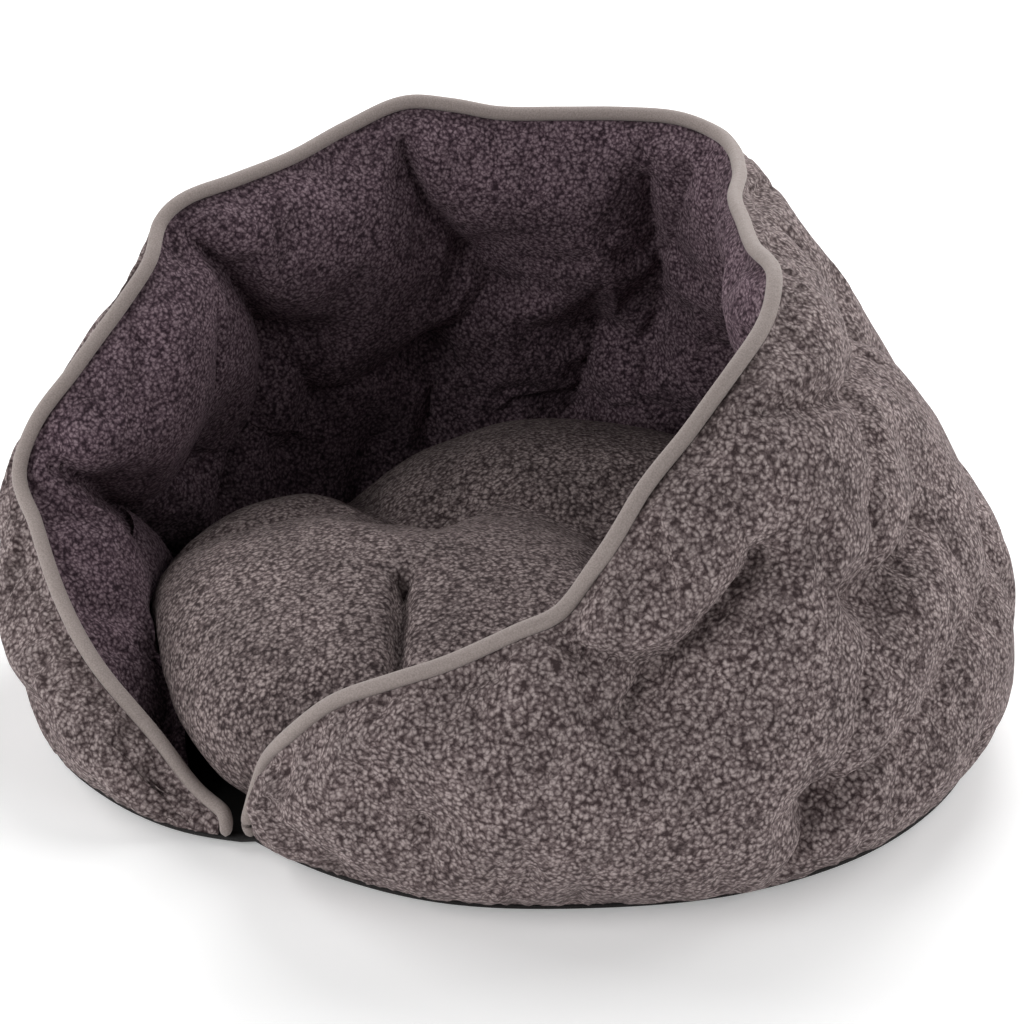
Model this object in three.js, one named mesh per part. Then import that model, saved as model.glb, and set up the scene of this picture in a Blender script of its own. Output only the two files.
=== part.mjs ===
// A cuddle bed for a cat or small dog: a stuffed wall that leans in over an oval base and is cut down to the
// floor at the entrance, with a piped edge, a loose stuffed cushion inside and a thin bottom panel.
// Sizes are in millimetres, with +Z up. The origin is on the floor under the middle of the base.
// A "turn" is an angle about Z in degrees: 0 at the entrance (-Y), 90 at +X, 180 at the back.
// "up" is a place on the wall: 0 at the base seam, 1 at the rim.
import * as THREE from "three";

// Wall: the cloth and its stuffing
const firstTurn = 0.9; // the wall's end to the right of the entrance slit
const lastTurn = 355.7; // and its end to the left
const seamHeight = 5.2; // where the wall is sewn to the bottom panel
const bulgeUp = 0.36; // where the wall is widest
const bulgeHighest = 0.7; // the most that the widest place may be of the rim's height
const clothThickness = 1.6; // each cover at its sewn edges
const fullHeight = 62; // a stretch of wall shorter than this, from seam to rim, is thinner in proportion
const rimRoll = 46; // how far from the rim the stuffing takes to fill out
const seamRoll = 26; // from the seam, inside
const seamRise = 44; // from the seam, outside, where the cover rises more steeply from the floor
const endRoll = 26; // and from the wall's two ends
const pieceClearance = 0.3; // between pieces that touch

// Wall: the grid that its surfaces are worked out on
const wallColumns = 86;
const wallRows = 14;
const rowCloseness = 0.4; // how much closer together the rows lie by the seam and the rim
const turnStep = 0.5; // steps that a direction on the wall is measured over
const upStep = 0.02;
const slantStep = 0.1;
const lengthSteps = 12; // steps that a length from seam to rim is measured over
const halvings = 30; // rounds of the search for a height on the wall

// Rim of the wall: its corners are where the upper creases run out
const rimRows = [
  { turn: 0, radius: 178, height: 10 },
  { turn: 3, radius: 182, height: 31 },
  { turn: 6, radius: 186, height: 50 },
  { turn: 11, radius: 193, height: 70 },
  { turn: 18, radius: 196, height: 94 },
  { turn: 26, radius: 198, height: 110 },
  { turn: 33, radius: 196, height: 120 },
  { turn: 41, radius: 195, height: 134 },
  { turn: 47, radius: 191, height: 142 },
  { turn: 52, radius: 190, height: 165 },
  { turn: 58, radius: 182, height: 189 },
  { turn: 66, radius: 174, height: 208 },
  { turn: 74, radius: 168, height: 226 },
  { turn: 83, radius: 159, height: 238 },
  { turn: 92, radius: 145, height: 247 },
  { turn: 106, radius: 120, height: 245 },
  { turn: 124, radius: 109, height: 244 },
  { turn: 142, radius: 110, height: 243 },
  { turn: 160, radius: 130, height: 241 },
  { turn: 170, radius: 146, height: 240 },
  { turn: 178, radius: 158, height: 240 },
  { turn: 187, radius: 161, height: 242 },
  { turn: 197, radius: 158, height: 241 },
  { turn: 208, radius: 153, height: 240 },
  { turn: 220, radius: 151, height: 240 },
  { turn: 229, radius: 154, height: 244 },
  { turn: 237, radius: 160, height: 245 },
  { turn: 247, radius: 162, height: 236 },
  { turn: 259, radius: 161, height: 227 },
  { turn: 271, radius: 167, height: 222 },
  { turn: 279, radius: 177, height: 218 },
  { turn: 284, radius: 181, height: 211 },
  { turn: 291, radius: 177, height: 199 },
  { turn: 297, radius: 185, height: 182 },
  { turn: 302, radius: 202, height: 157 },
  { turn: 306, radius: 218, height: 136 },
  { turn: 310, radius: 225, height: 116 },
  { turn: 316, radius: 218, height: 101 },
  { turn: 325, radius: 211, height: 78 },
  { turn: 334, radius: 204, height: 59 },
  { turn: 343, radius: 193, height: 37 },
  { turn: 351, radius: 187, height: 17 },
  { turn: 360, radius: 181, height: 7 },
];

// Wall's middle surface below the rim, and how far each cover stands off it where it is fullest
const bodyRows = [
  { turn: 0, seamRadius: 176, bulgeRadius: 178, bulgeHeight: 10, shoulder: 0.9, insideFill: 30, outsideFill: 18 },
  { turn: 8, seamRadius: 179, bulgeRadius: 188, bulgeHeight: 30, shoulder: 0.8, insideFill: 22, outsideFill: 18 },
  { turn: 17, seamRadius: 183, bulgeRadius: 196, bulgeHeight: 46, shoulder: 0.8, insideFill: 22, outsideFill: 18 },
  { turn: 30, seamRadius: 189, bulgeRadius: 203, bulgeHeight: 56, shoulder: 0.7, insideFill: 24, outsideFill: 18 },
  { turn: 50, seamRadius: 195, bulgeRadius: 208, bulgeHeight: 62, shoulder: 0.52, insideFill: 26, outsideFill: 18 },
  { turn: 70, seamRadius: 208, bulgeRadius: 216, bulgeHeight: 68, shoulder: 0.42, insideFill: 28, outsideFill: 18 },
  { turn: 90, seamRadius: 219, bulgeRadius: 221, bulgeHeight: 72, shoulder: 0.37, insideFill: 30, outsideFill: 16 },
  { turn: 115, seamRadius: 224, bulgeRadius: 230, bulgeHeight: 74, shoulder: 0.27, insideFill: 30, outsideFill: 13 },
  { turn: 145, seamRadius: 214, bulgeRadius: 226, bulgeHeight: 74, shoulder: 0.22, insideFill: 28, outsideFill: 13 },
  { turn: 180, seamRadius: 204, bulgeRadius: 213, bulgeHeight: 74, shoulder: 0.42, insideFill: 24, outsideFill: 14 },
  { turn: 215, seamRadius: 203, bulgeRadius: 212, bulgeHeight: 74, shoulder: 0.52, insideFill: 24, outsideFill: 18 },
  { turn: 250, seamRadius: 211, bulgeRadius: 216, bulgeHeight: 76, shoulder: 0.42, insideFill: 36, outsideFill: 18 },
  { turn: 280, seamRadius: 216, bulgeRadius: 219, bulgeHeight: 78, shoulder: 0.28, insideFill: 42, outsideFill: 14 },
  { turn: 305, seamRadius: 213, bulgeRadius: 219, bulgeHeight: 70, shoulder: 0.34, insideFill: 46, outsideFill: 24 },
  { turn: 322, seamRadius: 217, bulgeRadius: 217, bulgeHeight: 52, shoulder: 0.42, insideFill: 49, outsideFill: 19 },
  { turn: 338, seamRadius: 206, bulgeRadius: 207, bulgeHeight: 34, shoulder: 0.6, insideFill: 64, outsideFill: 20 },
  { turn: 350, seamRadius: 194, bulgeRadius: 194, bulgeHeight: 16, shoulder: 0.8, insideFill: 70, outsideFill: 20 },
  { turn: 360, seamRadius: 178, bulgeRadius: 178, bulgeHeight: 10, shoulder: 0.9, insideFill: 60, outsideFill: 18 },
];

// Tufts, where a stitch pulls both covers together, and how much of each cover's stand-off it takes away.
// Heights here and in the creases are on the wall's middle.
const tufts = [
  { turn: 30, height: 58, inside: 0.7, outside: 0.6 },
  { turn: 55, height: 117, inside: 0.9, outside: 1 },
  { turn: 74, height: 60, inside: 0.9, outside: 0.9 },
  { turn: 84, height: 132, inside: 0.9, outside: 1 },
  { turn: 92, height: 203, inside: 0.9, outside: 0.95 },
  { turn: 119, height: 92, inside: 0.85, outside: 0.9 },
  { turn: 128, height: 190, inside: 0.85, outside: 0.85 },
  { turn: 144, height: 122, inside: 0.85, outside: 0.85 },
  { turn: 156, height: 58, inside: 0.85, outside: 0.85 },
  { turn: 162, height: 188, inside: 0.85, outside: 0.85 },
  { turn: 176, height: 122, inside: 0.85, outside: 0.85 },
  { turn: 188, height: 64, inside: 0.85, outside: 0.85 },
  { turn: 194, height: 140, inside: 0.95, outside: 0.9 },
  { turn: 204, height: 121, inside: 0.9, outside: 0.5 },
  { turn: 209, height: 63, inside: 0.85, outside: 0.85 },
  { turn: 225, height: 166, inside: 1, outside: 0.95 },
  { turn: 231, height: 107, inside: 1, outside: 0.95 },
  { turn: 240, height: 52, inside: 0.4, outside: 0.7 },
  { turn: 259, height: 135, inside: 0.95, outside: 0.95 },
  { turn: 256, height: 60, inside: 0.5, outside: 0.85 },
  { turn: 279, height: 84, inside: 0.6, outside: 0.85 },
  { turn: 301, height: 100, inside: 0.6, outside: 0.6 },
  { turn: 329, height: 32, inside: 0.1, outside: 0.6 },
];
const tuftReach = 40; // how far round a tuft the covers are drawn in

// Creases of each cover: how much of its stand-off a crease takes away, and the turns and heights that it runs
// through
const creases = {
  inside: [
    { pull: 0.7, through: [[93, 206], [92, 244]] },
    { pull: 0.4, through: [[55, 117], [47, 144]] },
    { pull: 0.5, through: [[128, 190], [140, 236]] },
    { pull: 0.4, through: [[128, 190], [144, 122]] },
    { pull: 0.5, through: [[162, 188], [176, 240]] },
    { pull: 0.4, through: [[162, 188], [176, 122]] },
    { pull: 0.35, through: [[182, 226], [186, 203], [189, 180]] },
    { pull: 0.8, through: [[193, 214], [193, 191], [193, 163], [194, 137], [196, 118]] },
    { pull: 0.5, through: [[204, 121], [206, 100], [209, 63]] },
    { pull: 0.7, through: [[238, 231], [232, 200], [228, 181], [225, 166], [221, 149]] },
    { pull: 0.35, through: [[221, 149], [225, 130], [231, 107]] },
    { pull: 0.2, through: [[231, 107], [240, 105], [250, 96]] },
    { pull: 0.4, through: [[231, 107], [230, 85], [231, 49]] },
    { pull: 0.75, through: [[281, 212], [273, 190], [263, 151], [259, 135]] },
    { pull: 0.35, through: [[259, 135], [250, 96]] },
    { pull: 0.6, through: [[259, 135], [263, 95], [268, 50]] },
    { pull: 0.7, through: [[307, 122], [300, 102], [287, 62], [278, 24]] },
  ],
  outside: [
    { pull: 0.7, through: [[42, 136], [50, 130], [55, 117]] },
    { pull: 0.85, through: [[70, 162], [66, 148], [61, 131], [55, 117], [50, 99]] },
    { pull: 0.85, through: [[111, 138], [100, 136], [90, 136], [84, 132], [78, 124]] },
    { pull: 0.2, through: [[84, 132], [78, 100], [74, 60]] },
    { pull: 0.65, through: [[75, 62], [72, 46], [70, 22]] },
    { pull: 0.45, through: [[69, 216], [77, 215], [86, 203]] },
    { pull: 0.7, through: [[130, 206], [111, 201], [92, 203], [87, 185]] },
    { pull: 0.2, through: [[87, 185], [84, 158], [84, 132]] },
    { pull: 0.65, through: [[134, 118], [125, 98], [118, 66]] },
    { pull: 0.4, through: [[119, 92], [100, 84], [74, 60]] },
    { pull: 0.4, through: [[128, 190], [140, 236]] },
    { pull: 0.3, through: [[128, 190], [144, 122]] },
    { pull: 0.4, through: [[162, 188], [176, 240]] },
    { pull: 0.3, through: [[162, 188], [176, 122]] },
    { pull: 0.4, through: [[225, 166], [237, 240]] },
    { pull: 0.3, through: [[225, 166], [194, 140]] },
    { pull: 0.3, through: [[225, 166], [231, 107]] },
    { pull: 0.3, through: [[231, 107], [231, 49]] },
    { pull: 0.4, through: [[259, 135], [281, 206]] },
    { pull: 0.9, through: [[285, 208], [284, 150], [279, 84]] },
    { pull: 0.6, through: [[311, 112], [313, 60]] },
    { pull: 0.3, through: [[259, 135], [231, 107]] },
    { pull: 0.5, through: [[301, 100], [318, 50], [329, 20]] },
  ],
};
const creaseReach = 24; // how far to each side of a crease the covers are drawn in
const creaseSteps = 4;

// Piping on the rim
const pipingDiameter = 7;
const pipingSides = 8; // an even number
const pipingEndSteps = 2; // steps down each end of the wall
const pipingSteps = wallColumns + 2 * pipingEndSteps;
const pipingOffset = pipingDiameter / 2 + 0.6; // from the wall's edge to the middle of the cord

// Bottom panel: its section from the middle of its underside to its edge and back over its top
const panelOverhang = 1.5; // past the wall's seam
const panelThickness = 2.4;
const panelLift = 3.2; // how far its sewn edge curls up from the floor
const panelFlatShare = 0.93; // the share of its radius that lies flat
const panelColumns = 64;
const panelRows = [
  { share: 0, height: 0 },
  { share: panelFlatShare / 2, height: 0 },
  { share: panelFlatShare, height: 0 },
  { share: 0.98, height: 0.3 * panelLift },
  { share: 1, height: panelLift },
  { share: 0.975, height: panelLift + 0.75 * panelThickness },
  { share: panelFlatShare, height: panelThickness },
  { share: panelFlatShare / 2, height: panelThickness },
  { share: 0, height: panelThickness },
];

// Cushion: the outline at its widest
const cushionRows = [
  { turn: 0, radius: 172, height: 88 },
  { turn: 15, radius: 167, height: 90 },
  { turn: 35, radius: 172, height: 90 },
  { turn: 60, radius: 176, height: 90 },
  { turn: 90, radius: 184, height: 86 },
  { turn: 120, radius: 190, height: 82 },
  { turn: 160, radius: 184, height: 82 },
  { turn: 195, radius: 181, height: 82 },
  { turn: 217, radius: 178, height: 80 },
  { turn: 232, radius: 168, height: 74 },
  { turn: 250, radius: 154, height: 66 },
  { turn: 265, radius: 152, height: 64 },
  { turn: 282, radius: 157, height: 70 },
  { turn: 305, radius: 160, height: 82 },
  { turn: 325, radius: 149, height: 89 },
  { turn: 342, radius: 158, height: 89 },
  { turn: 352, radius: 168, height: 88 },
  { turn: 360, radius: 172, height: 88 },
];
const cushionMiddleHeight = 91;
const cushionUpperRound = 0.48; // 1 is a round side, 0 an upright one
const cushionLowerRound = 0.3;
const cushionColumns = 56;
const cushionRings = 16;

// Folds in the top of the cushion: the depth of each, how far to each side of it the top slopes down to it, and
// the places that it runs through, in plan
const cushionFolds = [
  { depth: 15, reach: 48, through: [[-150, -104], [-112, -58], [-86, -22], [-62, -4]] },
  { depth: 20, reach: 58, through: [[-62, -4], [-35, 7], [-4, 24]] },
  { depth: 26, reach: 54, through: [[-4, 24], [27, 38], [120, 40]] },
  { depth: 20, reach: 42, through: [[-140, 44], [-88, 8], [-62, -4]] },
  { depth: 10, reach: 16, through: [[8, -82], [26, -106], [40, -124]] },
];

const degrees = THREE.MathUtils.degToRad;

// A smooth curve through a table's rows: the value of one column at a turn
function tableValue(rows, column, turn) {
  let last = 1;
  while (last < rows.length - 1 && rows[last].turn < turn) last += 1;
  const at = (i) => rows[THREE.MathUtils.clamp(i, 0, rows.length - 1)];
  const before = at(last - 1);
  const after = at(last);
  const slope = (i) => {
    const low = at(i - 1);
    const high = at(i + 1);
    return (high[column] - low[column]) / (high.turn - low.turn);
  };
  const span = after.turn - before.turn;
  const t = (turn - before.turn) / span;
  const t2 = t * t;
  const t3 = t2 * t;
  return (
    before[column] * (2 * t3 - 3 * t2 + 1) +
    after[column] * (3 * t2 - 2 * t3) +
    slope(last - 1) * span * (t3 - 2 * t2 + t) +
    slope(last) * span * (t3 - t2)
  );
}

function polar(turn, radius, height) {
  const angle = degrees(turn);
  return new THREE.Vector3(radius * Math.sin(angle), -radius * Math.cos(angle), height);
}

// The wall's middle surface: out from the seam to the bulge, then in to the rim
function wallMiddle(turn, up) {
  const rimRadius = tableValue(rimRows, "radius", turn);
  const rimHeight = tableValue(rimRows, "height", turn);
  const seamRadius = tableValue(bodyRows, "seamRadius", turn);
  const bulgeRadius = tableValue(bodyRows, "bulgeRadius", turn);
  const bulgeHeight = Math.min(tableValue(bodyRows, "bulgeHeight", turn), bulgeHighest * rimHeight);
  if (up < bulgeUp) {
    const t = up / bulgeUp;
    const out = Math.sin((t * Math.PI) / 2);
    return polar(
      turn,
      seamRadius + (bulgeRadius - seamRadius) * out,
      seamHeight + (bulgeHeight - seamHeight) * t,
    );
  }
  const t = (up - bulgeUp) / (1 - bulgeUp);
  const lean = 2 * t ** 2 - t ** 3;
  const rise = lean + tableValue(bodyRows, "shoulder", turn) * (t ** 3 - 2 * t ** 2 + t);
  return polar(
    turn,
    bulgeRadius + (rimRadius - bulgeRadius) * lean,
    bulgeHeight + (rimHeight - bulgeHeight) * rise,
  );
}

// Along the wall, from a little to one side of a place to a little to the other
function alongWall(turn, up) {
  const left = wallMiddle(Math.max(turn - turnStep, 0), up);
  return wallMiddle(Math.min(turn + turnStep, 360), up).sub(left);
}

// The unit vector that leaves the wall's middle outwards
function wallNormal(turn, up) {
  const below = wallMiddle(turn, Math.max(up - upStep, 0));
  const upward = wallMiddle(turn, Math.min(up + upStep, 1)).sub(below);
  return alongWall(turn, up).cross(upward).normalize();
}

// The unit vector that leaves the wall at its rim, square to its edge
function rimOutward(turn) {
  return wallNormal(turn, 1).cross(alongWall(turn, 1)).normalize();
}

// The wall's length from seam to rim
function columnLength(turn) {
  let length = 0;
  for (let i = 0; i < lengthSteps; i += 1) {
    length += wallMiddle(turn, i / lengthSteps).distanceTo(wallMiddle(turn, (i + 1) / lengthSteps));
  }
  return length;
}

// The place on the wall's middle at a height, found by halving
function wallAtHeight(turn, height) {
  let low = 0;
  let high = 1;
  for (let i = 0; i < halvings; i += 1) {
    const up = (low + high) / 2;
    if (wallMiddle(turn, up).z < height) low = up;
    else high = up;
  }
  return wallMiddle(turn, low);
}

const tuftPoints = tufts.map((tuft) => ({ ...tuft, at: wallAtHeight(tuft.turn, tuft.height) }));

// A crease as points on the wall's middle
function creasePoints(through) {
  const points = [];
  for (let i = 0; i <= creaseSteps * (through.length - 1); i += 1) {
    const leg = Math.min(Math.floor(i / creaseSteps), through.length - 2);
    const share = i / creaseSteps - leg;
    const [fromTurn, fromHeight] = through[leg];
    const [toTurn, toHeight] = through[leg + 1];
    const turn = THREE.MathUtils.lerp(fromTurn, toTurn, share);
    points.push(wallAtHeight(turn, THREE.MathUtils.lerp(fromHeight, toHeight, share)));
  }
  return points;
}

function creaseLinesOf(cover) {
  return creases[cover].map(({ pull, through }) => ({ pull, points: creasePoints(through) }));
}
const creaseLines = { inside: creaseLinesOf("inside"), outside: creaseLinesOf("outside") };

function distanceToLine(place, points) {
  let best = Infinity;
  const nearest = new THREE.Vector3();
  for (let i = 0; i < points.length - 1; i += 1) {
    new THREE.Line3(points[i], points[i + 1]).closestPointToPoint(place, true, nearest);
    best = Math.min(best, nearest.distanceTo(place));
  }
  return best;
}

// From 0 on a sewn edge to 1 where the stuffing is full, round in between
function roundOff(distance, reach) {
  return Math.sqrt(1 - (1 - Math.min(1, distance / reach)) ** 2);
}

// From 1 on a stitch or the line of a fold to 0 at its reach, with no sharp step
function dip(distance, reach) {
  return 0.5 + 0.5 * Math.cos(Math.PI * Math.min(1, distance / reach));
}

// How much of its full stand-off a cover has at a place, from 0 to 1
function fillShare(place, cover) {
  let share = 1;
  for (const tuft of tuftPoints) {
    share *= 1 - tuft[cover] * dip(place.distanceTo(tuft.at), tuftReach);
  }
  for (const crease of creaseLines[cover]) {
    share *= 1 - crease.pull * dip(distanceToLine(place, crease.points), creaseReach);
  }
  return share;
}

// The place of a row, from the seam to the rim
function rowUp(share) {
  return THREE.MathUtils.lerp(share, 0.5 - 0.5 * Math.cos(Math.PI * share), rowCloseness);
}

// The turn of a column, from one end of the wall to the other
function columnTurn(share) {
  return THREE.MathUtils.lerp(firstTurn, lastTurn, share);
}

// Columns of points from one end of the wall to the other, each moved off the wall's middle
function wallGrid(offsetOf) {
  const grid = [];
  for (let i = 0; i <= wallColumns; i += 1) {
    const turn = columnTurn(i / wallColumns);
    const length = columnLength(turn);
    const column = [];
    for (let j = 0; j <= wallRows; j += 1) {
      const up = rowUp(j / wallRows);
      const place = wallMiddle(turn, up);
      const normal = wallNormal(turn, up);
      column.push(place.clone().addScaledVector(normal, offsetOf(turn, up, place, length)));
    }
    grid.push(column);
  }
  return grid;
}

// How far a cover stands off the wall's middle
function standOff(cover, turn, up, place, length) {
  const fill = tableValue(bodyRows, `${cover}Fill`, turn) * Math.min(1, length / fullHeight);
  const toRim = wallMiddle(turn, 1).sub(wallMiddle(turn, 1 - slantStep)).normalize();
  const rimDistance = (1 - up) * length * rimOutward(turn).dot(toRim);
  const atRim = roundOff(rimDistance, Math.min(rimRoll, length / 2));
  const rise = Math.min(1, (up * length) / Math.min(seamRise, length / 2));
  const atSeam =
    cover === "outside" ? Math.sin((rise * Math.PI) / 2) : roundOff(up * length, Math.min(seamRoll, length / 2));
  const endTurn = Math.min(turn - firstTurn, lastTurn - turn);
  const endDistance = degrees(endTurn) * Math.hypot(place.x, place.y);
  const atEnd = roundOff(endDistance, endRoll);
  return clothThickness + fill * atRim * atSeam * atEnd * fillShare(place, cover);
}

// A closed body between two grids of the same size. outside is the one that a viewer from outside sees.
function bodyBetween(outside, inside) {
  const columns = outside.length;
  const rows = outside[0].length;
  const positions = [...outside.flat(), ...inside.flat()].flatMap((p) => [p.x, p.y, p.z]);
  const outer = (i, j) => i * rows + j;
  const inner = (i, j) => columns * rows + i * rows + j;
  const faces = [];
  const quad = (a, b, c, d) => faces.push(a, b, c, a, c, d);
  for (let i = 0; i < columns - 1; i += 1) {
    for (let j = 0; j < rows - 1; j += 1) {
      quad(outer(i, j), outer(i + 1, j), outer(i + 1, j + 1), outer(i, j + 1));
      quad(inner(i, j), inner(i, j + 1), inner(i + 1, j + 1), inner(i + 1, j));
    }
    quad(outer(i, 0), inner(i, 0), inner(i + 1, 0), outer(i + 1, 0));
    quad(outer(i, rows - 1), outer(i + 1, rows - 1), inner(i + 1, rows - 1), inner(i, rows - 1));
  }
  for (let j = 0; j < rows - 1; j += 1) {
    quad(outer(0, j), outer(0, j + 1), inner(0, j + 1), inner(0, j));
    const i = columns - 1;
    quad(outer(i, j), inner(i, j), inner(i, j + 1), outer(i, j + 1));
  }
  const geometry = new THREE.BufferGeometry();
  geometry.setAttribute("position", new THREE.Float32BufferAttribute(positions, 3));
  geometry.setIndex(faces);
  geometry.computeVertexNormals();
  return geometry;
}

// The wall's outer cover and its half of the stuffing
function makeOuterWall() {
  const skin = wallGrid((turn, up, place, length) => standOff("outside", turn, up, place, length));
  const back = wallGrid(() => pieceClearance / 2);
  return bodyBetween(skin, back);
}

// The wall's lining and the other half
function makeInnerWall() {
  const back = wallGrid(() => -pieceClearance / 2);
  const skin = wallGrid((turn, up, place, length) => -standOff("inside", turn, up, place, length));
  return bodyBetween(back, skin);
}

// The line of the piping: along the rim, with its steps at the wall's own columns, and down the wall's ends.
// It keeps the same distance from the wall round the corner between them.
function pipingPoint(step) {
  const column = THREE.MathUtils.clamp(step - pipingEndSteps, 0, wallColumns);
  const turn = columnTurn(column / wallColumns);
  const beyond = Math.max(pipingEndSteps - step, step - pipingEndSteps - wallColumns, 0);
  const edge = wallMiddle(turn, 1 - beyond / pipingEndSteps);
  const sideways = polar(turn < 180 ? turn - 90 : turn + 90, 1, 0);
  if (beyond > 0) return edge.addScaledVector(sideways, pipingOffset);
  const outward = rimOutward(turn);
  if (column > 0 && column < wallColumns) return edge.addScaledVector(outward, pipingOffset);
  const between = outward.add(sideways).normalize();
  return edge.addScaledVector(between, pipingOffset / between.dot(sideways));
}

class PipingLine extends THREE.Curve {
  getUtoTmapping(share) {
    return share;
  }

  getPoint(share, target = new THREE.Vector3()) {
    const step = share * pipingSteps;
    const whole = Math.min(Math.floor(step), pipingSteps - 1);
    return target.lerpVectors(pipingPoint(whole), pipingPoint(whole + 1), step - whole);
  }
}

function makePiping() {
  const section = new THREE.Shape();
  section.absarc(0, 0, pipingDiameter / 2, 0, 2 * Math.PI);
  return new THREE.ExtrudeGeometry(section, {
    steps: pipingSteps,
    extrudePath: new PipingLine(),
    curveSegments: pipingSides / 2,
  });
}

// A body of closed rings: from a centre point on its underside, round its edge, to a centre point on top.
// place(turn, ring) gives a point of a ring, and the first and last rings are one point each.
function bodyOfRings(columns, rings, place) {
  const positions = [];
  const faces = [];
  const start = place(0, 0);
  positions.push(start.x, start.y, start.z);
  for (let ring = 1; ring < rings; ring += 1) {
    for (let i = 0; i < columns; i += 1) {
      const p = place((360 * i) / columns, ring);
      positions.push(p.x, p.y, p.z);
    }
  }
  const end = place(0, rings);
  positions.push(end.x, end.y, end.z);
  const index = (ring, i) => 1 + (ring - 1) * columns + (i % columns);
  const last = 1 + (rings - 1) * columns;
  for (let i = 0; i < columns; i += 1) {
    faces.push(0, index(1, i + 1), index(1, i));
    for (let ring = 1; ring < rings - 1; ring += 1) {
      faces.push(index(ring, i), index(ring, i + 1), index(ring + 1, i + 1));
      faces.push(index(ring, i), index(ring + 1, i + 1), index(ring + 1, i));
    }
    faces.push(index(rings - 1, i), index(rings - 1, i + 1), last);
  }
  const geometry = new THREE.BufferGeometry();
  geometry.setAttribute("position", new THREE.Float32BufferAttribute(positions, 3));
  geometry.setIndex(faces);
  geometry.computeVertexNormals();
  return geometry;
}

function makeBottomPanel() {
  return bodyOfRings(panelColumns, panelRows.length - 1, (turn, ring) => {
    const edge = tableValue(bodyRows, "seamRadius", turn) + panelOverhang;
    return polar(turn, edge * panelRows[ring].share, panelRows[ring].height);
  });
}

const cushionFoldLines = cushionFolds.map(({ depth, reach, through }) => {
  const points = through.map(([x, y]) => new THREE.Vector3(x, y, 0));
  return { depth, reach, points };
});

// The folds' depth at a place on the cushion, the deepest one smoothed out to its reach
function cushionFoldDepth(place) {
  const flat = new THREE.Vector3(place.x, place.y, 0);
  let depth = 0;
  for (const fold of cushionFoldLines) {
    depth = Math.max(depth, fold.depth * dip(distanceToLine(flat, fold.points), fold.reach));
  }
  return depth;
}

function makeCushion() {
  const underside = panelThickness + pieceClearance;
  return bodyOfRings(cushionColumns, cushionRings, (turn, ring) => {
    const angle = Math.PI * (ring / cushionRings - 0.5);
    const lift = Math.sin(angle);
    const out = Math.cos(angle) ** (lift < 0 ? cushionLowerRound : cushionUpperRound);
    const place = polar(turn, tableValue(cushionRows, "radius", turn) * out, 0);
    const edgeHeight = tableValue(cushionRows, "height", turn);
    const height = THREE.MathUtils.lerp(cushionMiddleHeight, edgeHeight, out);
    const sink = cushionFoldDepth(place) * Math.max(0, lift);
    place.z = underside + (height * (1 + lift)) / 2 - sink;
    return place;
  });
}

function cloth(colour, roughness) {
  return new THREE.MeshStandardMaterial({ color: colour, roughness, metalness: 0 });
}
const heatherFleece = cloth(0x8b827c, 0.95);
const darkPlush = cloth(0x43383c, 0.95);
const pipingCloth = cloth(0x9b9089, 0.85);
const bottomCloth = cloth(0x161416, 0.9);

const bed = new THREE.Group();
function addPiece(name, geometry, material) {
  const mesh = new THREE.Mesh(geometry, material);
  mesh.name = name;
  bed.add(mesh);
}

addPiece("outer_wall", makeOuterWall(), heatherFleece);
addPiece("inner_wall", makeInnerWall(), darkPlush);
addPiece("rim_piping", makePiping(), pipingCloth);
addPiece("bottom_panel", makeBottomPanel(), bottomCloth);
addPiece("cushion", makeCushion(), heatherFleece.clone());

export default bed;
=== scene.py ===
"""A cuddle bed for a cat or small dog: a stuffed, tufted wall that leans in over an oval base and is cut
down to the floor at the entrance, with a piped edge, a loose stuffed cushion and a dark bottom cloth.

Tables and sizes are in millimetres. Meshes, and the sizes that the simulations, the materials and the
stage take, are in metres, with +Z up. The origin is on the floor under the middle of the base. A "turn" is
an angle about Z in degrees: 0 at the entrance (-Y), 90 at +X, 180 at the back. "up" is a place on the wall:
0 at the base seam, 1 at the rim."""
import math

import bpy
import numpy as np
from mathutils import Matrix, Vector


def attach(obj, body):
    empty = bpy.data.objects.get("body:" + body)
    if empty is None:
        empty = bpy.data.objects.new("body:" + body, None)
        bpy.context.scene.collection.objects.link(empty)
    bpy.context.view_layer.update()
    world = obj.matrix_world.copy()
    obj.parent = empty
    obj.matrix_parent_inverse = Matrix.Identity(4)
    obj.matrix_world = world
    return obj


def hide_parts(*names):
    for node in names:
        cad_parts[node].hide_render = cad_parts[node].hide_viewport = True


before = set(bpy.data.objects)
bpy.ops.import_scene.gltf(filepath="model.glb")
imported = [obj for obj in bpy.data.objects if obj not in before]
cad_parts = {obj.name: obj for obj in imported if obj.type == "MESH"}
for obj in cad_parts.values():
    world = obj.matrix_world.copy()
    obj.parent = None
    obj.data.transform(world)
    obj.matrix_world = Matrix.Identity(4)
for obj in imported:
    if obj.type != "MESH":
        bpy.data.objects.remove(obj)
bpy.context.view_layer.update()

MM = 0.001
BODY = "root"


def table(columns, *rows):
    """The rows as one array for each named column."""
    return dict(zip(columns.split(), np.array(rows, float).T))


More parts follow.
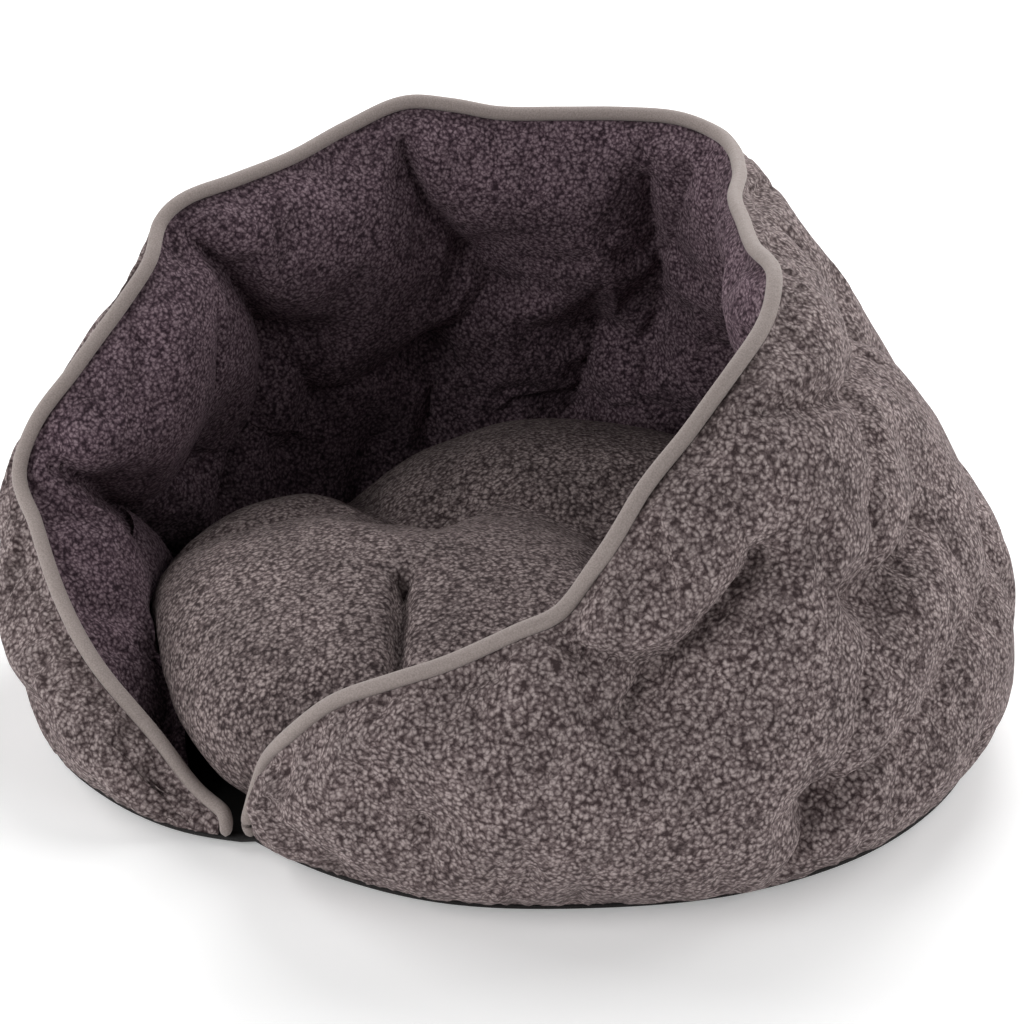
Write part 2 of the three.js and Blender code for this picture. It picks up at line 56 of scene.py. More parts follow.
# Wall: the cloth and its stuffing
FIRST_TURN = 0.9  # the wall's end to the right of the entrance slit
LAST_TURN = 355.7  # and its end to the left
SEAM_HEIGHT = 5.2  # where the wall is sewn to the bottom panel
BULGE_UP = 0.36  # where the wall is widest
BULGE_HIGHEST = 0.7  # the most that the widest place may be of the rim's height
CLOTH_THICKNESS = 1.6  # each cover at its sewn edges
FULL_HEIGHT = 62  # a stretch of wall shorter than this, from seam to rim, is thinner in proportion
RIM_ROLL = 46  # how far from the rim the stuffing takes to fill out
SEAM_ROLL = 26  # from the seam, inside
SEAM_RISE = 44  # from the seam, outside, where the cover rises more steeply from the floor
END_ROLL = 26  # and from the wall's two ends
ROW_CLOSENESS = 0.4  # how much closer together the rows lie by the seam and the rim
BELOW_RIM = 0.9  # a place on the wall from which its slant up to the rim is measured

# Rim of the wall: its corners are where the upper creases run out
RIM = table(
    "turn radius height",
    (0, 178, 10),
    (3, 182, 31),
    (6, 186, 50),
    (11, 193, 70),
    (18, 196, 94),
    (26, 198, 110),
    (33, 196, 120),
    (41, 195, 134),
    (47, 191, 142),
    (52, 190, 165),
    (58, 182, 189),
    (66, 174, 208),
    (74, 168, 226),
    (83, 159, 238),
    (92, 145, 247),
    (106, 120, 245),
    (124, 109, 244),
    (142, 110, 243),
    (160, 130, 241),
    (170, 146, 240),
    (178, 158, 240),
    (187, 161, 242),
    (197, 158, 241),
    (208, 153, 240),
    (220, 151, 240),
    (229, 154, 244),
    (237, 160, 245),
    (247, 162, 236),
    (259, 161, 227),
    (271, 167, 222),
    (279, 177, 218),
    (284, 181, 211),
    (291, 177, 199),
    (297, 185, 182),
    (302, 202, 157),
    (306, 218, 136),
    (310, 225, 116),
    (316, 218, 101),
    (325, 211, 78),
    (334, 204, 59),
    (343, 193, 37),
    (351, 187, 17),
    (360, 181, 7),
)

# Wall's middle surface below the rim, and how far each cover stands off it where it is fullest
BODY_ROWS = table(
    "turn seam_radius bulge_radius bulge_height shoulder inside_fill outside_fill",
    (0, 176, 178, 10, 0.9, 30, 18),
    (8, 179, 188, 30, 0.8, 22, 18),
    (17, 183, 196, 46, 0.8, 22, 18),
    (30, 189, 199, 56, 0.7, 22, 24),
    (50, 195, 202, 62, 0.52, 23, 28),
    (70, 208, 210, 68, 0.42, 25, 28),
    (90, 219, 214, 72, 0.37, 27, 22),
    (115, 224, 224, 74, 0.27, 29, 12),
    (145, 214, 221, 74, 0.22, 26, 11),
    (180, 204, 211, 74, 0.42, 24, 13),
    (215, 203, 212, 74, 0.52, 24, 18),
    (250, 211, 216, 76, 0.42, 36, 18),
    (280, 216, 219, 78, 0.28, 42, 12),
    (305, 213, 219, 70, 0.34, 46, 22),
    (322, 217, 217, 52, 0.42, 49, 18),
    (338, 206, 207, 34, 0.6, 64, 20),
    (350, 194, 194, 16, 0.8, 70, 20),
    (360, 178, 178, 10, 0.9, 60, 18),
)

# Tufts, where a stitch pulls both covers together, and how much of each cover's stand-off it takes away
TUFTS = table(
    "turn height inside outside",
    (30, 58, 0.7, 0.6),
    (56, 118, 0.9, 1),
    (75, 52, 0.9, 0.95),
    (86, 124, 0.9, 1),
    (97, 194, 0.9, 1),
    (119, 92, 0.85, 0.9),
    (128, 190, 0.85, 0.85),
    (144, 122, 0.85, 0.85),
    (156, 58, 0.85, 0.85),
    (162, 188, 0.85, 0.85),
    (176, 122, 0.85, 0.85),
    (188, 64, 0.85, 0.85),
    (194, 140, 0.95, 0.9),
    (204, 121, 0.9, 0.5),
    (209, 63, 0.85, 0.85),
    (225, 166, 1, 0.95),
    (231, 107, 1, 0.95),
    (240, 52, 0.4, 0.7),
    (259, 135, 0.95, 0.95),
    (256, 60, 0.5, 0.85),
    (279, 84, 0.6, 0.85),
    (301, 100, 0.6, 0.6),
    (329, 32, 0.1, 0.6),
)
TUFT_REACH = {"inside": 46, "outside": 31}

# Creases of each cover: how much of its stand-off a crease takes away, and the turns and heights that it
# runs through
CREASES = {
    "inside": (
        (0.7, (97, 194), (92, 244)),
        (0.4, (56, 118), (47, 144)),
        (0.5, (128, 190), (140, 236)),
        (0.4, (128, 190), (144, 122)),
        (0.5, (162, 188), (176, 240)),
        (0.4, (162, 188), (176, 122)),
        (0.35, (182, 226), (186, 203), (189, 180)),
        (0.8, (193, 214), (193, 191), (193, 163), (194, 137), (196, 118)),
        (0.5, (204, 121), (206, 100), (209, 63)),
        (0.7, (238, 231), (232, 200), (228, 181), (225, 166), (221, 149)),
        (0.35, (221, 149), (225, 130), (231, 107)),
        (0.2, (231, 107), (240, 105), (250, 96)),
        (0.4, (231, 107), (230, 85), (231, 49)),
        (0.75, (281, 212), (273, 190), (263, 151), (259, 135)),
        (0.35, (259, 135), (250, 96)),
        (0.6, (259, 135), (263, 95), (268, 50)),
        (0.7, (307, 122), (300, 102), (287, 62), (278, 24)),
    ),
    "outside": (
        (0.7, (44, 136), (51, 127), (56, 118)),
        (0.85, (70, 157), (66, 145), (61, 132), (56, 118), (53, 107)),
        (0.95, (102, 132), (96, 129), (90, 125), (86, 124), (82, 128)),
        (0.2, (86, 124), (80, 96), (75, 52)),
        (0.65, (75, 52), (74, 38), (72, 22)),
        (0.45, (72, 214), (82, 208), (97, 194)),
        (0.7, (122, 186), (110, 188), (97, 194), (93, 181)),
        (0.3, (93, 181), (88, 158), (86, 124)),
        (0.65, (134, 118), (125, 98), (118, 66)),
        (0.4, (119, 92), (100, 84), (75, 52)),
        (0.4, (128, 190), (140, 236)),
        (0.3, (128, 190), (144, 122)),
        (0.4, (162, 188), (176, 240)),
        (0.3, (162, 188), (176, 122)),
        (0.4, (225, 166), (237, 240)),
        (0.3, (225, 166), (194, 140)),
        (0.3, (225, 166), (231, 107)),
        (0.3, (231, 107), (231, 49)),
        (0.4, (259, 135), (281, 206)),
        (0.9, (285, 208), (284, 150), (279, 84)),
        (0.6, (311, 112), (313, 60)),
        (0.3, (259, 135), (231, 107)),
        (0.5, (301, 100), (318, 50), (329, 20)),
    ),
}
CREASE_REACH = {"inside": 30, "outside": 17}
CREASE_STEPS = 4  # between two of the places that a crease runs through
STITCH_WIDTH = 3  # how narrow the cloth is drawn in on a stitch or a crease

# Piping on the rim
PIPING_RADIUS = 3.5
PIPING_OFFSET = PIPING_RADIUS + 0.6  # from the wall's edge to the middle of the cord

# Bottom panel
PANEL_OVERHANG = 1.5  # past the wall's seam
PANEL_THICKNESS = 2.4
PANEL_LIFT = 3.2  # how far its sewn edge curls up from the floor

# Cushion: how far out it reaches, where the wall leaves it the room, and how high its top is towards there
CUSHION = table(
    "turn radius height",
    (0, 180, 90),
    (15, 177, 90),
    (35, 178, 90),
    (60, 180, 90),
    (90, 186, 90),
    (120, 188, 87),
    (160, 184, 87),
    (195, 181, 87),
    (217, 178, 84),
    (232, 168, 74),
    (250, 156, 66),
    (265, 157, 68),
    (282, 165, 80),
    (305, 168, 90),
    (325, 167, 93),
    (342, 174, 92),
    (352, 180, 90),
    (360, 180, 90),
)
CUSHION_MIDDLE_HEIGHT = 96
CUSHION_UPPER_ROUND = 0.48  # 1 is a round side, 0 an upright one
CUSHION_LOWER_ROUND = 0.15
CUSHION_UNDERSIDE = PANEL_THICKNESS + 0.3

# Folds in the top of the cushion: depth, how far to each side the top slopes down to it, and the places that
# it runs through, in plan
CUSHION_FOLDS = (
    (12, 70, (-135, -80), (-112, -54), (-86, -18), (-62, 0)),
    (22, 66, (-62, 0), (-35, 10), (-4, 26)),
    (26, 58, (-4, 26), (27, 40), (120, 46)),
    (18, 42, (-140, 44), (-88, 10), (-62, 0)),
)
FOLD_PINCH = 0.25  # the share of a fold's depth that is a narrow furrow
FOLD_PINCH_REACH = 14

# A slit that the cloth is pinched into near the entrance, in plan
SLIT = ((5, -79), (26, -106), (46, -132))
SLIT_DEPTH = 12
SLIT_HALF_WIDTH = 3.2
SLIT_SHOULDER = 4  # how far the cloth sinks beside it
SLIT_SHOULDER_REACH = 11


# Shape of the wall
def at_turn(rows, column, turn):
    """A smooth curve through a table's rows: the value of one column at each turn."""
    x = rows["turn"]
    y = rows[column]
    low = np.maximum(np.arange(len(x)) - 1, 0)
    high = np.minimum(np.arange(len(x)) + 1, len(x) - 1)
    slope = (y[high] - y[low]) / (x[high] - x[low])
    i = np.clip(np.searchsorted(x, turn), 1, len(x) - 1)
    span = x[i] - x[i - 1]
    t = (turn - x[i - 1]) / span
    ease = 3 * t**2 - 2 * t**3
    start_slope = slope[i - 1] * span * (t**3 - 2 * t**2 + t)
    end_slope = slope[i] * span * (t**3 - t**2)
    return y[i - 1] * (1 - ease) + y[i] * ease + start_slope + end_slope


def polar(turn, radius, height):
    """The places at these turns, distances from the middle axis and heights."""
    angle = np.radians(turn)
    return np.stack(np.broadcast_arrays(radius * np.sin(angle), -radius * np.cos(angle), height), -1)


def wall_middle(turn, up):
    """The wall's middle surface: out from the seam to the bulge, then in to the rim."""
    rim_radius = at_turn(RIM, "radius", turn)
    rim_height = at_turn(RIM, "height", turn)
    seam_radius = at_turn(BODY_ROWS, "seam_radius", turn)
    bulge_radius = at_turn(BODY_ROWS, "bulge_radius", turn)
    bulge_height = np.minimum(at_turn(BODY_ROWS, "bulge_height", turn), BULGE_HIGHEST * rim_height)
    below = np.minimum(up / BULGE_UP, 1)
    lower_radius = seam_radius + (bulge_radius - seam_radius) * np.sin(below * math.pi / 2)
    lower_height = SEAM_HEIGHT + (bulge_height - SEAM_HEIGHT) * below
    t = np.maximum(up - BULGE_UP, 0) / (1 - BULGE_UP)
    lean = 2 * t**2 - t**3
    rise = lean + at_turn(BODY_ROWS, "shoulder", turn) * (t**3 - 2 * t**2 + t)
    upper_radius = bulge_radius + (rim_radius - bulge_radius) * lean
    upper_height = bulge_height + (rim_height - bulge_height) * rise
    is_low = up < BULGE_UP
    radius = np.where(is_low, lower_radius, upper_radius)
    return polar(turn, radius, np.where(is_low, lower_height, upper_height))


def unit(vectors):
    return vectors / np.linalg.norm(vectors, axis=-1, keepdims=True)


def along_wall(turn, up, step=0.5):
    """A vector along the wall's middle, the way that turns grow."""
    return wall_middle(np.minimum(turn + step, 360), up) - wall_middle(np.maximum(turn - step, 0), up)


def wall_normal(turn, up, step=0.02):
    """The unit vector that leaves the wall's middle outwards."""
    upward = wall_middle(turn, np.minimum(up + step, 1)) - wall_middle(turn, np.maximum(up - step, 0))
    return unit(np.cross(along_wall(turn, up), upward))


def rim_outward(turn):
    """The unit vector that leaves the wall at its rim, square to its edge."""
    top = np.ones_like(turn)
    return unit(np.cross(wall_normal(turn, top), along_wall(turn, top)))


def column_length(turn, steps=12):
    """The length of the wall's middle from the seam to the rim, at each turn."""
    length = 0
    for i in range(steps):
        low = wall_middle(turn, np.full_like(turn, i / steps))
        high = wall_middle(turn, np.full_like(turn, (i + 1) / steps))
        length = length + np.linalg.norm(high - low, axis=-1)
    return length


def wall_at_height(turn, height, halvings=30):
    """The places on the wall's middle at these heights."""
    low = np.zeros_like(turn)
    high = np.ones_like(turn)
    for _ in range(halvings):
        up = (low + high) / 2
        is_below = wall_middle(turn, up)[..., 2] < height
        low = np.where(is_below, up, low)
        high = np.where(is_below, high, up)
    return wall_middle(turn, low)


def distance_to_line(places, points):
    """From each place to the nearest point of a line through the points."""
    best = np.full(places.shape[:-1], np.inf)
    for start, end in zip(points[:-1], points[1:]):
        along = end - start
        share = np.clip((places - start) @ along / (along @ along), 0, 1)
        nearest = start + share[..., None] * along
        best = np.minimum(best, np.linalg.norm(places - nearest, axis=-1))
    return best


def round_off(distance, reach):
    """From 0 on a sewn edge to 1 where the stuffing is full, round in between."""
    return np.sqrt(1 - (1 - np.clip(distance / reach, 0, 1)) ** 2)


def dip(distance, reach):
    """From 1 on a stitch or the line of a fold to 0 at its reach, with no sharp step."""
    return 0.5 + 0.5 * np.cos(math.pi * np.minimum(1, distance / reach))


def crease_line(points):
    """A crease as points on the wall's middle."""
    turn, height = np.array(points, float).T
    place = np.linspace(0, len(points) - 1, CREASE_STEPS * (len(points) - 1) + 1)
    stops = np.arange(len(points))
    return wall_at_height(np.interp(place, stops, turn), np.interp(place, stops, height))


def drawn_in(distance, reach):
    """From 1 on a stitch to 0 at its reach: the cloth rises from it as steeply as the side of a puff."""
    past_stitch = np.hypot(distance, STITCH_WIDTH) - STITCH_WIDTH
    return 1 - round_off(past_stitch, reach)


def fill_share(places, cover):
    """How much of its full stand-off a cover has at each place, from 0 to 1."""
    share = np.ones(places.shape[:-1])
    tuft_places = wall_at_height(TUFTS["turn"], TUFTS["height"])
    for place, pull in zip(tuft_places, TUFTS[cover]):
        share *= 1 - pull * drawn_in(np.linalg.norm(places - place, axis=-1), TUFT_REACH[cover])
    for pull, *points in CREASES[cover]:
        share *= 1 - pull * drawn_in(distance_to_line(places, crease_line(points)), CREASE_REACH[cover])
    return share


class Wall:
    """The wall's middle on a grid of columns and rows, with the stand-off of both covers."""

    def __init__(self, columns, rows):
        share = np.linspace(0, 1, rows + 1)
        eased = 0.5 - 0.5 * np.cos(math.pi * share)
        up = share + (eased - share) * ROW_CLOSENESS
        turn = np.linspace(FIRST_TURN, LAST_TURN, columns + 1)
        self.turn, self.up = np.meshgrid(turn, up, indexing="ij")
        self.middle = wall_middle(self.turn, self.up)
        self.normal = wall_normal(self.turn, self.up)
        self.length = column_length(turn)[:, None]
        below_rim = wall_middle(turn, np.full_like(turn, BELOW_RIM))
        to_rim = unit(wall_middle(turn, np.ones_like(turn)) - below_rim)
        slant = (rim_outward(turn) * to_rim).sum(-1)[:, None]
        self.from_rim = (1 - self.up) * self.length * slant
        self.from_seam = self.up * self.length
        radius = np.hypot(self.middle[..., 0], self.middle[..., 1])
        self.from_end = np.radians(np.minimum(self.turn - FIRST_TURN, LAST_TURN - self.turn)) * radius

    def full(self, cover):
        """A cover's stand-off with no tufts or creases."""
        fill = at_turn(BODY_ROWS, cover + "_fill", self.turn) * np.minimum(1, self.length / FULL_HEIGHT)
        at_rim = round_off(self.from_rim, np.minimum(RIM_ROLL, self.length / 2))
        at_seam = round_off(self.from_seam, np.minimum(SEAM_ROLL, self.length / 2))
        if cover == "outside":
            rise = np.clip(2 * self.from_seam / np.minimum(2 * SEAM_RISE, self.length), 0, 1)
            at_seam = np.sin(math.pi / 2 * rise)
        at_end = round_off(self.from_end, END_ROLL)
        return fill * at_rim * at_seam * at_end

    def moved(self, offset):
        """The wall's middle, moved outwards by the offset."""
        return self.middle + self.normal * offset[..., None]


def grown(grid):
    """The same grid with a point more between each two, on a smooth curve through their neighbours."""
    for axis in (0, 1):
        points = np.moveaxis(grid, axis, 0)
        wider = np.concatenate([2 * points[:1] - points[1:2], points, 2 * points[-1:] - points[-2:-1]])
        finer = np.empty((2 * len(points) - 1, *points.shape[1:]))
        finer[::2] = points
        finer[1::2] = (9 * (points[:-1] + points[1:]) - wider[:-3] - wider[3:]) / 16
        grid = np.moveaxis(finer, 0, axis)
    return grid


# Making meshes
SWELL_FRAMES = 16


def quads(index):
    """Four-sided faces between the neighbours in a grid of point numbers."""
    corners = (index[:-1, :-1], index[1:, :-1], index[1:, 1:], index[:-1, 1:])
    return np.stack(corners, -1).reshape(-1, 4).tolist()


def add_object(name, points, faces, smooth=True):
    mesh = bpy.data.meshes.new(name)
    mesh.from_pydata(points.tolist(), [], faces)
    mesh.update()
    if smooth:
        mesh.shade_smooth()
    piece = bpy.data.objects.new(name, mesh)
    bpy.context.scene.collection.objects.link(piece)
    return piece


def points_of(mesh):
    points = np.empty(len(mesh.vertices) * 3)
    mesh.vertices.foreach_get("co", points)
    return points.reshape(-1, 3)


def evaluated_mesh(piece):
    return piece.evaluated_get(bpy.context.evaluated_depsgraph_get()).to_mesh()


def swell(points, faces, held, growth, pressure, cap):
    """The points of a closed cloth body after its stuffing has pressed it out. held says how firmly a seam
    or a stitch keeps each point in place, from 0 to 1, growth is the share by which the cloth is longer than
    the body it starts on, and cap is how far a point may move, in metres."""
    body = add_object("swelling_body", points, faces)
    group = body.vertex_groups.new(name="held")
    firmness = np.round(held, 1)
    for weight in np.unique(firmness[firmness > 0]):
        group.add(np.flatnonzero(firmness == weight).tolist(), float(weight), "REPLACE")
    modifier = body.modifiers.new("cloth", "CLOTH")
    cloth = modifier.settings
    cloth.quality = 6
    cloth.mass = 0.3
    cloth.tension_stiffness = 15
    cloth.compression_stiffness = 15
    cloth.shear_stiffness = 5
    cloth.bending_stiffness = 0.5
    cloth.air_damping = 1
    cloth.vertex_group_mass = "held"
    cloth.shrink_min = -growth
    cloth.use_pressure = True
    cloth.uniform_pressure_force = pressure
    cloth.effector_weights.gravity = 0
    modifier.collision_settings.use_collision = False
    modifier.point_cache.frame_start = 1
    modifier.point_cache.frame_end = SWELL_FRAMES
    for number in range(1, SWELL_FRAMES + 1):
        bpy.context.scene.frame_set(number)
    swollen = points_of(evaluated_mesh(body))
    bpy.data.objects.remove(body)
    bpy.context.scene.frame_set(1)
    move = swollen - points
    length = np.linalg.norm(move, axis=1, keepdims=True)
    return points + move * np.minimum(1, cap / np.maximum(length, 1e-9))


# Wall
WALL_COLUMNS = 380
WALL_ROWS = 60
BACK_COLUMN_STEP = 4
BACK_ROW_STEP = 10
WALL_SLACK = 0.9  # the share of its stand-off that a cover starts with before its stuffing presses it out
WALL_GROWTH = 0.04
WALL_PRESSURE = 4
WALL_CAP = 0.012
TUFT_HOLD = 12  # the stitch of a tuft holds the cloth up to this far off, less and less
CREASE_HOLD = 7  # and so does the line of a crease
LIP = 1.2  # how far the covers reach past the wall's edge, along the piping
LIP_OFFSET = 2.2  # and from the wall's middle
BACK_OFFSET = 0.15  # from the wall's middle to the hidden back of a cover
SHARP_ANGLE = 70


def firmness_of(places, cover):
    """How firmly the stitches of its tufts and creases hold a cover at each place, from 0 to 1."""
    firmness = np.zeros(places.shape[:-1])
    for place, pull in zip(wall_at_height(TUFTS["turn"], TUFTS["height"]), TUFTS[cover]):
        near = 1 - np.linalg.norm(places - place, axis=-1) / TUFT_HOLD
        firmness = np.maximum(firmness, np.clip(2 * near * pull, 0, 1))
    for pull, *points in CREASES[cover]:
        near = 1 - distance_to_line(places, crease_line(points)) / CREASE_HOLD
        firmness = np.maximum(firmness, np.clip(near * pull, 0, 1))
    return firmness


def swollen_wall():
    """The grids of the outer and the inner cover's faces, in metres."""
    wall = Wall(WALL_COLUMNS, WALL_ROWS)
    shape = wall.turn.shape
    index = np.arange(2 * wall.turn.size).reshape(2, *shape)
    outer, inner = index
    strips = [
        (outer[:-1, :-1], outer[1:, :-1], outer[1:, 1:], outer[:-1, 1:]),
        (inner[:-1, :-1], inner[:-1, 1:], inner[1:, 1:], inner[1:, :-1]),
        (outer[:-1, 0], inner[:-1, 0], inner[1:, 0], outer[1:, 0]),
        (outer[:-1, -1], outer[1:, -1], inner[1:, -1], inner[:-1, -1]),
        (outer[0, :-1], outer[0, 1:], inner[0, 1:], inner[0, :-1]),
        (outer[-1, :-1], inner[-1, :-1], inner[-1, 1:], outer[-1, 1:]),
    ]
    faces = np.concatenate([np.stack(strip, -1).reshape(-1, 4) for strip in strips]).tolist()
    sewn = np.ones(shape)
    sewn[1:-1, 1:-1] = 0
    points = []
    held = []
    for cover, side in (("outside", 1), ("inside", -1)):
        firmness = np.maximum(sewn, firmness_of(wall.middle, cover))
        slack = WALL_SLACK + (1 - WALL_SLACK) * firmness
        stand_off = wall.full(cover) * fill_share(wall.middle, cover) * slack
        points.append(wall.moved(side * (CLOTH_THICKNESS + stand_off)))
        held.append(firmness)
    flat = np.concatenate(points).reshape(-1, 3) * MM
    swollen = swell(flat, faces, np.concatenate(held).reshape(-1), WALL_GROWTH, WALL_PRESSURE, WALL_CAP)
    swollen = swollen.reshape(2, *shape, 3)
    swollen[..., 2] = np.maximum(swollen[..., 2], SEAM_HEIGHT * MM)
    return swollen


def cover_faces(shape, back_shape):
    """Faces of a closed cover: a fine face, a coarse back and many-sided faces between their edges."""
    columns, rows = shape
    fine = np.arange(columns * rows).reshape(shape)
    back = fine.size + np.arange(back_shape[0] * back_shape[1]).reshape(back_shape)
    faces = quads(fine) + quads(back.T)
    column_step = (columns - 1) // (back_shape[0] - 1)
    row_step = (rows - 1) // (back_shape[1] - 1)
    for i in range(back_shape[0] - 1):
        run = slice(i * column_step, (i + 1) * column_step + 1)
        faces.append([*fine[run, 0][::-1].tolist(), int(back[i, 0]), int(back[i + 1, 0])])
        faces.append([*fine[run, -1].tolist(), int(back[i + 1, -1]), int(back[i, -1])])
    for j in range(back_shape[1] - 1):
        run = slice(j * row_step, (j + 1) * row_step + 1)
        faces.append([*fine[0, run].tolist(), int(back[0, j + 1]), int(back[0, j])])
        faces.append([*fine[-1, run][::-1].tolist(), int(back[-1, j]), int(back[-1, j + 1])])
    return faces


def make_cover(name, grid, side):
    """A closed cover of the wall. side is 1 for the outer one and -1 for the inner one."""
    skin = grown(grid)
    wall = Wall(2 * WALL_COLUMNS, 2 * WALL_ROWS)
    outward = rim_outward(wall.turn[:, -1])
    lip = wall.middle[:, -1] + outward * LIP + wall.normal[:, -1] * side * LIP_OFFSET
    skin[:, -1] = lip * MM
    back = wall.moved(np.full(wall.turn.shape, side * BACK_OFFSET)) * MM
    back = back[::BACK_COLUMN_STEP, ::BACK_ROW_STEP]
    faces = cover_faces(skin.shape[:2], back.shape[:2])
    if side < 0:
        faces = [face[::-1] for face in faces]
    points = np.concatenate([skin.reshape(-1, 3), back.reshape(-1, 3)])
    piece = add_object(name, points, faces)
    piece.data.set_sharp_from_angle(angle=math.radians(SHARP_ANGLE))
    return piece


# Piping
PIPING_SIDES = 14
PIPING_STEP = 1.5
PIPING_END_POINTS = 11  # on its way up each end of the wall
PIPING_SMOOTHING = 5  # times that each point of its line is averaged with its neighbours
PIPING_END = 0.6  # its thickness where it runs into the base seam
PIPING_TAPER = 22
PIPING_TIP = 0.05  # what keeps the cord's two end rings open


def piping_line():
    """The middle of the cord, evenly spaced: up one end of the wall, along the rim and down the other."""
    turn = np.linspace(FIRST_TURN, LAST_TURN, 2 * WALL_COLUMNS + 1)
    rim = wall_middle(turn, np.ones_like(turn)) + rim_outward(turn) * PIPING_OFFSET
    up = np.linspace(0, 1, PIPING_END_POINTS + 1)[:-1]
    ends = []
    for side in (1, -1):
        end_turn = np.full_like(up, turn[0] if side > 0 else turn[-1])
        sideways = polar(end_turn - side * 90, 1.0, 0.0)
        ends.append(wall_middle(end_turn, up) + sideways * PIPING_OFFSET)
    line = np.concatenate([ends[0], rim, ends[1][::-1]])
    line = evenly_spaced(line, PIPING_STEP)
    for _ in range(PIPING_SMOOTHING):
        line[1:-1] = (line[:-2] + 2 * line[1:-1] + line[2:]) / 4
    return line


def evenly_spaced(line, step):
    along = np.concatenate([[0], np.cumsum(np.linalg.norm(np.diff(line, axis=0), axis=1))])
    places = np.linspace(0, along[-1], int(along[-1] / step) + 1)
    return np.stack([np.interp(places, along, line[:, axis]) for axis in range(3)], -1)


def make_piping():
    line = piping_line()
    ahead = unit(np.gradient(line, axis=0))
    side = unit(np.cross(ahead, [0, 0, 1.0]))
    over = np.cross(side, ahead)
    count = len(line)
    from_end = np.minimum(np.arange(count), count - 1 - np.arange(count)) * PIPING_STEP
    taper = PIPING_END + (1 - PIPING_END) * round_off(from_end, PIPING_TAPER)
    radius = PIPING_RADIUS * taper * round_off(from_end + PIPING_TIP, PIPING_RADIUS)
    angle = np.arange(PIPING_SIDES) * 2 * math.pi / PIPING_SIDES
    ring = side[:, None] * np.cos(angle)[None, :, None] + over[:, None] * np.sin(angle)[None, :, None]
    points = line[:, None] + ring * radius[:, None, None]
    index = np.arange(count * PIPING_SIDES).reshape(count, PIPING_SIDES)
    faces = quads(np.append(index, index[:, :1], axis=1))
    faces.append(index[0].tolist())
    faces.append(index[-1][::-1].tolist())
    piece = add_object("rim_piping_cord", points.reshape(-1, 3) * MM, faces)
    along = np.repeat(np.arange(count) * PIPING_STEP, PIPING_SIDES)
    attribute = piece.data.attributes.new("along", "FLOAT", "POINT")
    attribute.data.foreach_set("value", along.astype(np.float32))
    return piece


# Bottom panel: its profile is given in shares of its outline
PANEL_COLUMNS = 240
PANEL_PROFILE = table(
    "share height",
    (0.3, 0),
    (0.6, 0),
    (0.85, 0),
    (0.93, 0),
    (0.96, 0.25),
    (0.98, 0.95),
    (0.993, 2),
    (1, PANEL_LIFT),
    (0.994, 4.4),
    (0.983, 5),
    (0.97, 4.6),
    (0.95, 3.3),
    (0.93, PANEL_THICKNESS),
    (0.85, PANEL_THICKNESS),
    (0.6, PANEL_THICKNESS),
    (0.3, PANEL_THICKNESS),
)


def make_panel():
    turn = np.arange(PANEL_COLUMNS) * 360 / PANEL_COLUMNS
    edge = at_turn(BODY_ROWS, "seam_radius", turn) + PANEL_OVERHANG
    shares = PANEL_PROFILE["share"]
    rings = polar(turn[:, None], edge[:, None] * shares, PANEL_PROFILE["height"])
    index = np.arange(rings[..., 0].size).reshape(rings.shape[:2])
    around = np.append(index, index[:1], axis=0)
    faces = quads(around)
    underside, top = index.size, index.size + 1
    points = np.concatenate([rings.reshape(-1, 3), [[0, 0, 0], [0, 0, PANEL_THICKNESS]]])
    for here, ahead in zip(around[:-1].tolist(), around[1:].tolist()):
        faces.append([underside, ahead[0], here[0]])
        faces.append([top, here[-1], ahead[-1]])
    return add_object("bottom_cloth", points * MM, faces)


# Cushion
CUSHION_COLUMNS = 180
CUSHION_RINGS = 60
CUSHION_VOXEL = 0.005
CUSHION_GROWTH = 0.02
CUSHION_PRESSURE = 2.5
CUSHION_CAP = 0.006
CUSHION_SLACK = 2  # how far inside its final outline the cushion starts
FOLD_HOLD = 6  # a fold keeps the cloth down up to this far off, less and less


def fold_distance(places, points):
    """From each place, in plan, to the line of a fold."""
    return distance_to_line(places[..., :2], np.array(points, float))


def cushion_surface(turn, angle):
    """A place on the cushion. angle goes from -90, the middle of its underside, to 90, that of its top."""
    lift = np.sin(np.radians(angle))
    roundness = np.where(lift < 0, CUSHION_LOWER_ROUND, CUSHION_UPPER_ROUND)
    out = np.maximum(np.cos(np.radians(angle)), 0) ** roundness
    radius = (at_turn(CUSHION, "radius", turn) - CUSHION_SLACK) * out
    places = polar(turn, radius, 0.0)
    height = CUSHION_MIDDLE_HEIGHT + (at_turn(CUSHION, "height", turn) - CUSHION_MIDDLE_HEIGHT) * out
    sink = np.zeros(turn.shape)
    for depth, reach, *points in CUSHION_FOLDS:
        distance = fold_distance(places, points)
        slope = dip(distance, reach) * (1 - FOLD_PINCH)
        furrow = dip(distance, FOLD_PINCH_REACH) * FOLD_PINCH
        sink = np.maximum(sink, depth * (slope + furrow))
    places[..., 2] = CUSHION_UNDERSIDE + height * (1 + lift) / 2 - sink * np.maximum(0, lift)
    return places


